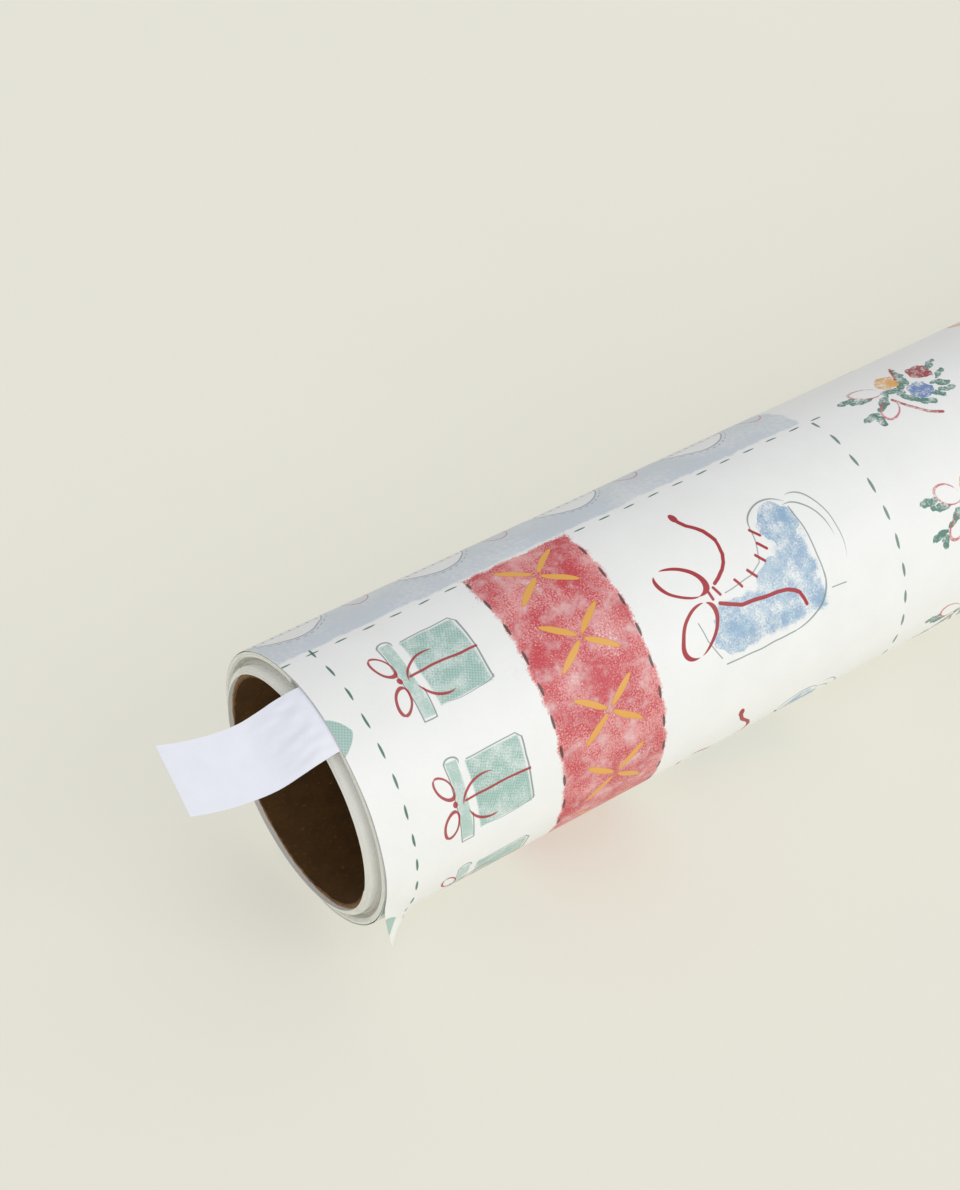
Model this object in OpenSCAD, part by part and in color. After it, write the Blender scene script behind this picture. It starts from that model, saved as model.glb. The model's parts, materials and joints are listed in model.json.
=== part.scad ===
// Roll of printed gift wrap on a spiral-wound board core, lying on its side.
// The bore's centre is the origin, +X runs to the plain end and +Z is up.
// The -X end has the blank paper tab. Angles round the roll start at the top
// and grow towards -Y, the side on which the sheet's free edge lies.

/* [Sheet] */
// Width of the sheet, which is the length of the roll
sheet_w = 700; // [300:10:1000]
// Thickness of the paper
paper_t = 0.07; // [0.06:0.005:0.075]
// Radial step from one turn to the next
turn_pitch = 0.085; // [0.08:0.005:0.1]

/* [Core] */
// Diameter of the bore
bore_d = 38; // [25:1:76]
// Thickness of each of the three plies
ply_t = 0.4; // [0.25:0.05:0.8]

/* [Windings] */
// Turns that have crept out with the core
inner_turns = 9; // [4:1:14]
// Turns that stand back from the end
middle_turns = 10; // [4:1:14]
// Turns under the loose one
outer_turns = 8; // [4:1:14]
// How far the core and the inner turns stand out at the tab end
inner_proud = 1.1; // [0:0.1:3]
// How far the middle turns stand back there
middle_back = 0.6; // [0:0.1:2]
// How far the outer turns stand back there
outer_back = 0.2; // [0:0.1:1]

/* [Loose end] */
// Angle from the top to the free edge
free_edge_a = 140; // [130:1:145]
// Angle from the free edge back to where the sheet lies on the roll
flap_span_a = 35; // [20:1:40]
// How much the loose turn opens out over its length
loose_gain = 0.32; // [0.2:0.02:0.8]

/* [Tab] */
// Width of the tab
tab_w = 12; // [8:1:16]
// Thickness of the tab
tab_t = 0.08; // [0.06:0.01:0.1]
// Angle from the top to the middle of the tab
tab_a = 18; // [5:1:60]
// Length tucked under the loose turn
tab_tuck = 22; // [10:1:40]
// Length from the roll's end to the crease
tab_crease = 10.5; // [8:0.5:14]
// Length from the crease to the free end
tab_free_l = 14; // [8:0.5:20]
// How far the crease lies below the tucked part
tab_dip = 2.9; // [2:0.1:3.2]
// How far the free end rises above the crease
tab_rise = 5.3; // [2:0.1:8]

/* [Hidden] */

// The turns are drawn as flats of this angle, and the roll lies on one of them
flat_a = 12;
flat_shrink = cos(flat_a / 2);
round_fn = 96;

bore_r = bore_d / 2;
core_r = bore_r + 3 * ply_t;

// Double-sided tape that holds the sheet's first edge to the core
tape_t = 0.05;
tape_w = 12;
tape_l = 60;
tape_count = 3;
tape_spacing = 250;

// Where the flap begins, and the seam behind it where every bundle starts
flap_a = free_edge_a - flap_span_a;
seam_a = 180 - flat_a * (floor((180 - flap_a) / flat_a) + 0.5);
seam_gap_a = 0.25;
hinge_gap_a = 0.4;

// Inner radii where the bundles start: the inner one slides along inside the middle one
core_gap = 0.08;
slide_gap = 0.03;
inner_r = (core_r + tape_t + core_gap) / flat_shrink;
middle_r = inner_r + inner_turns * turn_pitch + paper_t + slide_gap;
outer_r = middle_r + middle_turns * turn_pitch;
wound_r = outer_r + outer_turns * turn_pitch;

// The loose turn starts clear of the windings, which turn inside it, and opens out
turn_gap = 0.05;
loose_start_r = (wound_r + paper_t + turn_gap) / flat_shrink;
loose_end_r = loose_start_r + loose_gain;

// Axial places of the -X ends
core_end_x = -sheet_w / 2;
loose_end_x = core_end_x + inner_proud;

// The tucked part lies in the middle of the gap under the loose turn
tab_share = (tab_a + 360 - seam_a) / (360 - seam_a + flap_a);
tab_gap_r = (loose_start_r + loose_gain * tab_share) * flat_shrink;
tab_r = (wound_r + paper_t + tab_gap_r - tab_t) / 2;
tab_crease_gap = 0.15;
tab_root = 0.2;
tab_lap = 0.6;
tab_steps = 12;

// A point at radius r and angle a from the top, as [Y, Z]
function at(r, a) = [-r * sin(a), r * cos(a)];

// Corners of one face of a sheet that winds from angle a0 to a1 as its radius goes from r0 to r1
function wound(r0, r1, a0, a1) =
    let (angles = concat([for (a = a0; a < a1 - flat_a / 4; a = a + flat_a) a], [a1]))
    [for (a = angles) at(r0 + (r1 - r0) * (a - a0) / (a1 - a0), a)];

function backwards(points) = [for (i = [len(points) - 1:-1:0]) points[i]];

// Smooth step from 0 to 1
function ease(t) = t * t * (3 - 2 * t);

// Draws its 2D children in the YZ plane and extends them along X
module along_x(x0, l)
    translate([x0, 0, 0])
    rotate([90, 0, 90])
    linear_extrude(l)
    children();

module sheet_arc(r0, r1, a0, a1, x0)
    along_x(x0, sheet_w)
    polygon(concat(
        wound(r0, r1, a0, a1),
        backwards(wound(r0 + paper_t, r1 + paper_t, a0, a1))
    ));

module bundle(r0, turns, x0)
    sheet_arc(r0, r0 + turns * turn_pitch, seam_a, seam_a + 360 * turns - seam_gap_a, x0);

module ring(r0, r1)
    difference() {
        circle(r = r1, $fn = round_fn);
        circle(r = r0, $fn = round_fn);
    }

module ply(i)
    along_x(core_end_x, sheet_w)
    ring(bore_r + i * ply_t, bore_r + (i + 1) * ply_t);

// Part of a thin tube, centred on angle a, w wide round the arc
module shell_strip(r, t, a, w, x0, l)
    let (half_a = w / r * 90 / PI)
    translate([x0, 0, 0])
    rotate([90 + a - half_a, 0, 0])
    rotate([90, 0, 90])
    rotate_extrude(angle = 2 * half_a, $fn = round_fn)
    translate([r, 0])
    square([t, l]);

// Height of the tab at x beyond the roll's end, measured from its tucked part
function tab_height(x) =
    x < tab_crease
        ? -tab_dip * ease(x / tab_crease)
        : -tab_dip + tab_rise * pow((x - tab_crease) / tab_free_l, 1.5);

// A stretch of the tab from x0 to x1 beyond the roll's end, flat across its width
module tab_stretch(x0, x1) {
    xs = [for (i = [0:tab_steps]) x0 + (x1 - x0) * i / tab_steps];
    profile = concat(
        [for (x = xs) [-x, tab_r + tab_height(x)]],
        backwards([for (x = xs) [-x, tab_r + tab_height(x) + tab_t]])
    );
    translate([loose_end_x, 0, 0])
    rotate([tab_a, 0, 0])
    translate([0, tab_w / 2, 0])
    rotate([90, 0, 0])
    linear_extrude(tab_w)
    polygon(profile);
}

module core_inner_ply() {
    color("#8c6842")
    ply(0);
}

module core_middle_ply() {
    color("#9c784e")
    ply(1);
}

module core_outer_ply() {
    color("#a8845a")
    ply(2);
}

module start_tape() {
    color("#e8e4d4")
    for (i = [0:tape_count - 1])
        shell_strip(
            core_r, tape_t, seam_a + tape_w / core_r * 90 / PI, tape_w,
            (i - (tape_count - 1) / 2) * tape_spacing - tape_l / 2, tape_l
        );
}

module inner_windings() {
    color("#e6e6e0")
    bundle(inner_r, inner_turns, core_end_x);
}

module middle_windings() {
    color("#dcdcd6")
    bundle(middle_r, middle_turns, loose_end_x + middle_back);
}

module outer_windings() {
    color("#e2e2dc")
    bundle(outer_r, outer_turns, loose_end_x + outer_back);
}

module loose_turn() {
    color("#eceeee")
    sheet_arc(loose_start_r, loose_end_r, seam_a - 360, flap_a - hinge_gap_a, loose_end_x);
}

module tail_flap() {
    color("#f2f2f0")
    sheet_arc(loose_end_r, loose_end_r, flap_a, free_edge_a, loose_end_x);
}

module tab_tucked() {
    color("#f0f1f8")
    union() {
        shell_strip(tab_r, tab_t, tab_a, tab_w, loose_end_x - tab_lap, tab_tuck + tab_lap);
        tab_stretch(tab_root, tab_crease);
    }
}

module tab_free() {
    color("#eceefa")
    tab_stretch(tab_crease + tab_crease_gap, tab_crease + tab_free_l);
}

core_inner_ply();
core_middle_ply();
core_outer_ply();
start_tape();
inner_windings();
middle_windings();
outer_windings();
loose_turn();
tail_flap();
tab_tucked();
tab_free();
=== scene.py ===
# %% [markdown]
# # A roll of printed gift wrap
#
# The real object is one long sheet of thin paper, printed on its outer side, wound
# on a thick tube of board. The outermost turn has come a little loose, one corner of
# its free edge curls off the roll, and a blank paper tab is tucked under it at the
# near end. This lesson builds those pieces round a finished engineering model, which
# fixes every size and every joint, so the work here is only the looks.

# %% Load the frame
import json
import math

import bpy
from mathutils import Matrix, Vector, noise


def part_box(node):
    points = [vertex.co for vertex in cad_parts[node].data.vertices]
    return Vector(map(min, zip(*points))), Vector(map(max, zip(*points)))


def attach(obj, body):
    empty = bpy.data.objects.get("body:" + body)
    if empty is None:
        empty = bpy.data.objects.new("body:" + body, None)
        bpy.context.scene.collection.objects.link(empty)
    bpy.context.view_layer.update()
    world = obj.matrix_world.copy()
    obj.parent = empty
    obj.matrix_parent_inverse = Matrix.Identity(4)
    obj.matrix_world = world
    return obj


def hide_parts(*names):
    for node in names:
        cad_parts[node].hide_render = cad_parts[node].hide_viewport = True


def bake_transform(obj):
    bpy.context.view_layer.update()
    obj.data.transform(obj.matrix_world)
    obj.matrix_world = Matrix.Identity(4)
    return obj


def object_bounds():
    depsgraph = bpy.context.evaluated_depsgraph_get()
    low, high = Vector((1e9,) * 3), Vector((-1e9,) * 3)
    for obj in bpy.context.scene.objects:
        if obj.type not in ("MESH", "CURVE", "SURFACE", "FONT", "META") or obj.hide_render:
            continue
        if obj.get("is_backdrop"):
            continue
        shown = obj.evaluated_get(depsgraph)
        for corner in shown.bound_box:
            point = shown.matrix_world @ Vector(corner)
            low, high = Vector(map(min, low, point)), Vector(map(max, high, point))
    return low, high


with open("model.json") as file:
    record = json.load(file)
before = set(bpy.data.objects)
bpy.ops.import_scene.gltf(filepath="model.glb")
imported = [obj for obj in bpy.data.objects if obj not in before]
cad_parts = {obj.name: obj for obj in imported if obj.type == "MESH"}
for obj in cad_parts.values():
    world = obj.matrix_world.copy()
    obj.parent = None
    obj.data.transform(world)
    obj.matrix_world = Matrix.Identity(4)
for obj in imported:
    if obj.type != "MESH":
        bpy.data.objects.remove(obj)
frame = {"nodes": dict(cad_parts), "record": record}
cad_box = [list(corner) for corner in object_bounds()]
print("nodes:", sorted(frame["nodes"]))

# %% [markdown]
# ## Sizes
#
# All lengths below are in millimetres, the unit a paper merchant uses, and `MM` turns
# them into metres when a mesh is made. The radii and the two ends come from the
# engineering model's boxes. The angle round the roll starts at the top and grows
# towards the side on which the free edge lies.

# %% Sizes from the frame
MM = 0.001


def low(node, axis):
    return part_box(node)[0][axis] / MM


def high(node, axis):
    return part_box(node)[1][axis] / MM


X, Y = 0, 1
BORE_R = frame["record"]["mounts"][0]["dims"]["r_mm"]
CORE_NEAR, CORE_FAR = low("core_inner_ply", X), high("core_inner_ply", X)
SHEET_NEAR, SHEET_FAR = low("loose_turn", X), high("loose_turn", X)
SHEET_W = SHEET_FAR - SHEET_NEAR

PAPER_T = 0.07
BOARD_T = 0.75
SEAM_A, EDGE_A = -258.0, 140.0
across = high("loose_turn", Y) - low("loose_turn", Y)
print(f"roll {across:.1f} mm across, {SHEET_W:.0f} mm long, bore {2 * BORE_R:.0f} mm")

# %% [markdown]
# ## Wiring up shader nodes
#
# A print like this has dozens of small marks, so its shader is built by code. The
# class below adds one node at a time to a tree and hands back the socket to use next,
# which lets a mark be written almost like arithmetic. Each new node is put to the
# right of the last, so that the tree can still be read in the shader editor.

# %% A bench for wiring nodes
STEP_X, STEP_Y, COLUMN = 190, -210, 6


class Bench:
    """Adds nodes to one tree, in reading order, and joins their sockets."""

    def __init__(self, tree):
        self.tree = tree
        self.count = 0

    def place(self, kind, **settings):
        node = self.tree.nodes.new(kind)
        node.location = (self.count // COLUMN * STEP_X, self.count % COLUMN * STEP_Y)
        self.count += 1
        for name, value in settings.items():
            setattr(node, name, value)
        return node

    def feed(self, socket, value):
        if isinstance(value, bpy.types.NodeSocket):
            self.tree.links.new(value, socket)
        elif value is not None:
            socket.default_value = value

    def math(self, operation, a, b=None, c=None, clamp=False):
        node = self.place("ShaderNodeMath", operation=operation, use_clamp=clamp)
        for socket, value in zip(node.inputs, (a, b, c)):
            self.feed(socket, value)
        return node.outputs[0]

    def vector(self, operation, a, b=None, scale=None):
        node = self.place("ShaderNodeVectorMath", operation=operation)
        self.feed(node.inputs[0], a)
        self.feed(node.inputs[1], b)
        self.feed(node.inputs[3], scale)
        single = operation in ("DOT_PRODUCT", "LENGTH", "DISTANCE")
        return node.outputs["Value" if single else "Vector"]

    def ramp(self, value, start, end, low=0.0, high=1.0):
        """Eases from low to high as value goes from start to end."""
        node = self.place("ShaderNodeMapRange", interpolation_type="SMOOTHSTEP")
        for name, setting in (("Value", value), ("From Min", start), ("From Max", end),
                              ("To Min", low), ("To Max", high)):
            self.feed(node.inputs[name], setting)
        return node.outputs["Result"]

    def mix(self, share, a, b):
        node = self.place("ShaderNodeMix", data_type="RGBA")
        for index, value in ((0, share), (6, a), (7, b)):
            self.feed(node.inputs[index], value)
        return node.outputs[2]

    def split(self, vector):
        node = self.place("ShaderNodeSeparateXYZ")
        self.feed(node.inputs[0], vector)
        return list(node.outputs)

    def join(self, x, y=0.0, z=0.0):
        node = self.place("ShaderNodeCombineXYZ")
        for socket, value in zip(node.inputs, (x, y, z)):
            self.feed(socket, value)
        return node.outputs[0]

    def noise(self, vector, scale, detail=2.0, roughness=0.5, dimensions="3D"):
        node = self.place("ShaderNodeTexNoise", noise_dimensions=dimensions)
        self.feed(node.inputs["Vector"], vector)
        for name, value in (("Scale", scale), ("Detail", detail), ("Roughness", roughness)):
            self.feed(node.inputs[name], value)
        return node.outputs["Fac"]

    def use(self, group, **inputs):
        """Places a node group and feeds the inputs named; the others keep their defaults."""
        node = self.place("ShaderNodeGroup", node_tree=group)
        for name, value in inputs.items():
            self.feed(node.inputs[name.replace("_", " ")], value)
        return node.outputs


SOCKETS = {float: "NodeSocketFloat", tuple: "NodeSocketVector", str: "NodeSocketColor"}


def new_group(name, inputs, outputs):
    """A shader group, its bench, its input sockets and a dict of its output sockets."""
    tree = bpy.data.node_groups.new(name, "ShaderNodeTree")
    for label, default in inputs.items():
        kind = SOCKETS[type(default)]
        tree.interface.new_socket(label, in_out="INPUT", socket_type=kind).default_value = default
    for label, kind in outputs.items():
        tree.interface.new_socket(label, in_out="OUTPUT", socket_type=SOCKETS[kind])
    bench = Bench(tree)
    start = bench.place("NodeGroupInput")
    end = bench.place("NodeGroupOutput")
    end.location = (2400, 0)
    return tree, bench, start.outputs, end.inputs


def colour(red, green, blue):
    """A colour read off a screen, 0 to 255, as the linear value that shaders use."""
    return tuple(
        (c / 255 / 12.92 if c <= 10 else ((c / 255 + 0.055) / 1.055) ** 2.4)
        for c in (red, green, blue)
    ) + (1.0,)


print("bench ready")

# %% [markdown]
# ## Pens and stamps
#
# The print looks as if it was drawn by hand with a fine pen, crayons and a brush. Each
# mark is a distance: how far this point of the paper is from a line or from an oval.
# Where that distance is less than half the pen's width there is ink. Groups for a pen
# stroke, an oval, a dashed stitch and a panel cover all the motifs. A picture of the
# print would be quicker, but it would blur close up and could not be changed.

# %% Pen stroke
SOFT = 0.07
MARK_IN = {"Before": 0.0, "Place": (0.0, 0.0, 0.0)}


def pen_line(bench, width, off, taper=None):
    """Ink where the distance off a line is less than half the pen's width."""
    half = bench.math("MULTIPLY", width, 0.5)
    if taper is not None:
        half = bench.math("MULTIPLY", half, taper)
    edge = bench.math("SUBTRACT", half, bench.math("ABSOLUTE", off))
    return bench.ramp(edge, -SOFT, SOFT)


def add_to(bench, given, socket, ink):
    """Puts out this mark joined to the marks before it."""
    bench.feed(socket, bench.math("MAXIMUM", given["Before"], ink))


stroke, bench, given, out = new_group(
    "Pen stroke",
    {**MARK_IN, "From": (0.0, 0.0, 0.0), "To": (1.0, 0.0, 0.0), "Width": 0.4},
    {"Ink": float},
)
reach = bench.vector("SUBTRACT", given["To"], given["From"])
here = bench.vector("SUBTRACT", given["Place"], given["From"])
share = bench.math(
    "DIVIDE", bench.vector("DOT_PRODUCT", here, reach),
    bench.vector("DOT_PRODUCT", reach, reach), clamp=True,
)
gap = bench.vector("DISTANCE", here, bench.vector("SCALE", reach, scale=share))
add_to(bench, given, out["Ink"], pen_line(bench, given["Width"], gap))


# %% Oval, and arc with tapered ends
OVAL_IN = {**MARK_IN, "Centre": (0.0, 0.0, 0.0), "Turn": 0.0, "Radii": (1.0, 1.0, 1.0)}


def on_oval(bench, given):
    """The place scaled so that the oval is a circle of radius 1, and how far it is outside."""
    turned = bench.place("ShaderNodeVectorRotate", rotation_type="Z_AXIS")
    bench.feed(turned.inputs["Vector"], bench.vector("SUBTRACT", given["Place"], given["Centre"]))
    bench.feed(turned.inputs["Angle"], bench.math("MULTIPLY", given["Turn"], -math.pi / 180))
    unit = bench.vector("DIVIDE", turned.outputs[0], given["Radii"])
    mean_radius = bench.vector("DOT_PRODUCT", given["Radii"], (0.5, 0.5, 0.0))
    beyond = bench.math("SUBTRACT", bench.vector("LENGTH", unit), 1.0)
    return unit, bench.math("MULTIPLY", beyond, mean_radius)


def tapering(bench, share):
    """Full width in the middle of a mark, none at its ends, where share is 1."""
    return bench.math("SUBTRACT", 1.0, bench.math("POWER", share, 3.0), clamp=True)


oval, bench, given, out = new_group("Oval", {**OVAL_IN, "Width": 0.4}, {"Line": float, "Fill": float})
_, outside = on_oval(bench, given)
add_to(bench, given, out["Line"], pen_line(bench, given["Width"], outside))
add_to(bench, given, out["Fill"], bench.ramp(outside, SOFT, -SOFT))

arc, bench, given, out = new_group(
    "Arc", {**OVAL_IN, "Middle": 0.0, "Sweep": 180.0, "Width": 0.5}, {"Ink": float},
)
unit, outside = on_oval(bench, given)
x, y, _ = bench.split(unit)
heading = bench.math("MULTIPLY", bench.math("ARCTAN2", y, x), 180 / math.pi)
turn = bench.math("WRAP", bench.math("SUBTRACT", heading, given["Middle"]), 180.0, -180.0)
share = bench.math("DIVIDE", bench.math("ABSOLUTE", turn), bench.math("MULTIPLY", given["Sweep"], 0.5))
inked = pen_line(bench, given["Width"], outside, tapering(bench, share))
add_to(bench, given, out["Ink"], bench.math("MULTIPLY", inked, bench.ramp(share, 1.0, 0.96)))

# %% Panel and dashed stitch
panel, bench, given, out = new_group(
    "Panel",
    {**MARK_IN, "Centre": (0.0, 0.0, 0.0), "Half": (1.0, 1.0, 0.0), "Edge": 0.1},
    {"Ink": float},
)
here = bench.vector("ABSOLUTE", bench.vector("SUBTRACT", given["Place"], given["Centre"]))
inside = bench.split(bench.vector("SUBTRACT", given["Half"], here))
nearest = bench.math("MINIMUM", inside[0], inside[1])
add_to(bench, given, out["Ink"], bench.ramp(
    nearest, bench.math("MULTIPLY", given["Edge"], -1.0), given["Edge"]
))

stitch, bench, given, out = new_group(
    "Dashed stitch",
    {"Before": 0.0, "Along": 0.0, "Across": 0.0, "Pitch": 5.0, "Dash": 2.3, "Width": 0.5},
    {"Ink": float},
)
in_pitch = bench.math("FRACT", bench.math("DIVIDE", given["Along"], given["Pitch"]))
centred = bench.math("SUBTRACT", in_pitch, 0.5)
along = bench.math("ABSOLUTE", bench.math("MULTIPLY", centred, given["Pitch"]))
share = bench.math("DIVIDE", along, bench.math("MULTIPLY", given["Dash"], 0.5))
taper = tapering(bench, share)
inked = pen_line(bench, given["Width"], given["Across"], taper)
add_to(bench, given, out["Ink"], bench.math("MULTIPLY", inked, bench.ramp(taper, 0.0, 0.2)))
print("pens:", stroke.name, oval.name, arc.name, panel.name, stitch.name)

# %% [markdown]
# A hand is never quite steady and a crayon never quite covers, so two more groups add
# that. The first shifts the point that is being drawn by a slow, small noise. The
# second makes the broken cover of crayon or of watercolour on toothy paper: a coarse
# noise gives the pressure and a fine one the tooth.

# %% Unsteady hand and crayon
wobble, bench, given, out = new_group(
    "Unsteady hand", {"Place": (0.0, 0.0, 0.0), "Amount": 0.5, "Reach": 6.0}, {"Place": tuple},
)
shaken = bench.place("ShaderNodeTexNoise", noise_dimensions="2D")
bench.feed(shaken.inputs["Vector"], given["Place"])
bench.feed(shaken.inputs["Scale"], bench.math("DIVIDE", 1.0, given["Reach"]))
shaken.inputs["Detail"].default_value = 1.0
offset = bench.vector("SUBTRACT", shaken.outputs["Color"], (0.5, 0.5, 0.5))
offset = bench.vector("MULTIPLY", offset, (1.0, 1.0, 0.0))
offset = bench.vector("SCALE", offset, scale=bench.math("MULTIPLY", given["Amount"], 2.0))
bench.feed(out["Place"], bench.vector("ADD", given["Place"], offset))

crayon, bench, given, out = new_group(
    "Crayon",
    {"Place": (0.0, 0.0, 0.0), "Cover": 0.7, "Blotch": 6.0, "Tooth": 0.35, "Patchy": 2.4,
     "Grainy": 1.3},
    {"Ink": float},
)
pressure = bench.noise(given["Place"], bench.math("DIVIDE", 1.0, given["Blotch"]), 3.0, 0.6, "2D")
tooth = bench.noise(given["Place"], bench.math("DIVIDE", 1.0, given["Tooth"]), 1.0, 0.5, "2D")
pressure = bench.math("SUBTRACT", pressure, 0.5)
pressure = bench.math("MULTIPLY_ADD", pressure, given["Patchy"], given["Cover"])
grain = bench.math("MULTIPLY", bench.math("SUBTRACT", tooth, 0.5), given["Grainy"])
bench.feed(out["Ink"], bench.math("ADD", pressure, grain, clamp=True))
print("hand:", wobble.name, crayon.name)

# %% [markdown]
# ## The motifs
#
# Each motif is a group of its own, drawn in millimetres about its own middle, and puts
# out one mask for each ink. The motifs are plain seasonal ones: a gift box, crossed
# ribbon stitches, a laced winter boot and a sprig with baubles. Every mark hands its ink
# on to the next, so a long drawing needs no more memory than a short one.

# %% Helpers for drawing
MOTIF_IN = {"Place": (0.0, 0.0, 0.0)}


class Marks:
    """The marks of one ink, in millimetres. Each is joined to those before it."""

    def __init__(self, bench, place):
        self.bench, self.place, self.ink = bench, place, 0.0

    def add(self, group, output, **inputs):
        self.ink = self.bench.use(group, Before=self.ink, Place=self.place, **inputs)[output]
        return self

    def line(self, width, *points):
        for a, b in zip(points, points[1:]):
            self.add(stroke, "Ink", From=(*a, 0.0), To=(*b, 0.0), Width=width)
        return self

    def ring(self, width, centre, radii, turn=0.0):
        """The outline of an oval."""
        return self.add(
            oval, "Line", Centre=(*centre, 0.0), Radii=(*radii, 1.0), Turn=turn, Width=width
        )

    def disc(self, centre, radii, turn=0.0):
        """A filled oval."""
        return self.add(oval, "Fill", Centre=(*centre, 0.0), Radii=(*radii, 1.0), Turn=turn)

    def arc(self, width, centre, radii, middle, sweep, turn=0.0):
        """Part of an oval, sweep degrees of it about the heading middle."""
        return self.add(
            arc, "Ink", Centre=(*centre, 0.0), Radii=(*radii, 1.0), Turn=turn,
            Middle=middle, Sweep=sweep, Width=width,
        )

    def block(self, centre, half, edge=0.1):
        """A filled rectangle that reaches half to each side of its centre."""
        return self.add(panel, "Ink", Centre=(*centre, 0.0), Half=(*half, 0.0), Edge=edge)


def curve(points, cuts=2):
    """A smooth line through the points given, as a longer list of points."""
    padded = [points[0], *points, points[-1]]
    smooth = [points[0]]
    for quad in zip(padded, padded[1:], padded[2:], padded[3:]):
        for step in range(1, cuts + 1):
            t = step / cuts
            smooth.append(tuple(
                q + (r - p) * t / 2 + (p - 2.5 * q + 2 * r - s / 2) * t ** 2
                + (1.5 * q - p / 2 - 1.5 * r + s / 2) * t ** 3
                for p, q, r, s in zip(*quad)
            ))
    return smooth


# %% Gift box
gift, bench, given, out = new_group(
    "Gift box", MOTIF_IN, {"Lid": float, "Card": float, "Outline": float, "Ribbon": float},
)
here = given["Place"]
bench.feed(out["Lid"], Marks(bench, here).block((0.0, 0.0), (0.95, 6.7)).ink)
bench.feed(out["Card"], Marks(bench, here).block((7.0, 0.1), (4.7, 5.9), 0.25).ink)
outline = (
    Marks(bench, here)
    .line(0.22, (-1.1, 7.1), (-1.2, -6.6))
    .arc(0.3, (0.0, -6.3), (1.2, 1.0), -90.0, 240.0)
    .line(0.22, (-1.1, 7.2), (1.0, 7.1), (1.3, 2.6))
    .arc(0.3, (7.2, 5.2), (5.0, 1.0), 70.0, 150.0)
    .line(0.3, (12.2, -5.2), (12.0, 5.6))
    .line(0.2, (2.6, -6.0), (11.4, -6.2), (12.2, -5.2))
)
bench.feed(out["Outline"], outline.ink)
ribbon = (
    Marks(bench, here)
    .arc(0.62, (-2.4, -3.2), (1.1, 2.3), 150.0, 250.0, -27.0)
    .arc(0.44, (-2.4, -3.2), (1.1, 2.3), -20.0, 170.0, -27.0)
    .arc(0.66, (-2.5, 3.1), (1.15, 2.2), 190.0, 230.0, 24.0)
    .arc(0.54, (-2.5, 3.1), (1.15, 2.2), 10.0, 210.0, 24.0)
    .line(0.42, (0.6, 0.0), (6.6, -0.1), (12.4, 0.1))
    .arc(0.46, (4.4, 0.8), (4.3, 3.5), 238.0, 110.0)
    .arc(0.46, (4.6, 0.4), (4.0, 4.4), 118.0, 92.0)
    .disc((-1.3, 0.0), (0.42, 0.55))
)
bench.feed(out["Ribbon"], ribbon.ink)

# %% Crossed ribbon stitch
cross, bench, given, out = new_group("Crossed stitch", MOTIF_IN, {"Stitch": float, "Vein": float})
arms, veins = Marks(bench, given["Place"]), Marks(bench, given["Place"])
for side in (-1, 1):
    for rise in (-1, 1):
        arms.disc((side * 2.9, rise * 2.2), (3.1, 0.54), side * rise * 36.0)
        veins.ring(0.16, (side * 2.9, rise * 2.2), (3.1, 0.54), side * rise * 36.0)
bench.feed(out["Stitch"], arms.ink)
bench.feed(out["Vein"], veins.ink)

# %% Winter boot
boot, bench, given, out = new_group(
    "Winter boot", MOTIF_IN, {"Felt": float, "Shade": float, "Outline": float, "Lace": float},
)
here = bench.use(wobble, Place=given["Place"], Amount=0.9, Reach=2.6)["Place"]
felt = (
    Marks(bench, here)
    .disc((6.0, -6.0), (3.6, 4.2), 8.0)
    .block((6.0, 1.2), (3.2, 8.4), 0.9)
    .disc((-8.6, 5.6), (4.8, 4.2), -24.0)
    .block((-1.6, 5.6), (9.6, 4.2), 0.9)
    .disc((0.8, 2.2), (3.6, 4.0), 40.0)
)
bench.feed(out["Felt"], felt.ink)
shade = Marks(bench, here).disc((6.2, -7.6), (2.2, 2.2)).block((7.0, 1.0), (1.6, 8.0), 1.6)
shade.disc((-9.6, 5.4), (3.2, 3.4), 30.0).block((-1.0, 8.4), (7.0, 1.4), 1.2)
bench.feed(out["Shade"], shade.ink)
outline = (
    Marks(bench, given["Place"])
    .line(0.2, (-8.6, 0.0), (-2.9, -0.6), (-0.5, -1.8), (0.6, -5.0), (1.0, -7.4))
    .arc(0.34, (5.6, -6.4), (4.6, 4.5), -108.0, 150.0)
    .line(0.26, (9.4, -7.9), (10.0, -2.4), (9.9, 5.0))
    .arc(0.36, (1.4, 4.4), (8.6, 6.7), 42.0, 112.0)
    .line(0.26, (2.0, 11.1), (-5.1, 11.2), (-12.2, 10.8))
    .line(0.2, (-15.1, 2.5), (-14.5, 5.7), (-12.9, 9.5))
    .arc(0.28, (9.0, -0.4), (5.4, 8.2), -48.0, 96.0)
    .arc(0.28, (10.6, -0.6), (5.0, 9.4), -34.0, 124.0)
    .line(0.2, (10.7, 7.0), (13.5, 7.3))
)
bench.feed(out["Outline"], outline.ink)
lace = (
    Marks(bench, given["Place"])
    .arc(1.0, (-15.0, -4.4), (4.5, 2.3), -50.0, 190.0, 34.0)
    .arc(0.75, (-15.0, -4.4), (4.5, 2.3), 112.0, 150.0, 34.0)
    .arc(0.85, (-15.3, 3.7), (4.7, 2.8), -120.0, 200.0, -44.0)
    .arc(0.85, (-15.3, 3.7), (4.7, 2.8), 60.0, 150.0, -44.0)
    .line(0.62, *curve([(-9.5, -2.1), (-7.2, -3.4), (-5.6, -5.6), (-5.4, -8.2)]))
    .line(0.74, *curve([(-5.4, -8.2), (-6.3, -10.4), (-8.2, -12.6), (-9.0, -14.6)]))
    .disc((-9.0, -14.9), (0.62, 1.0), -8.0)
    .line(0.66, *curve([(-10.2, 1.2), (-6.5, 2.9), (-1.5, 3.4), (2.2, 4.0), (4.3, 5.3), (5.0, 7.6)]))
)
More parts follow.
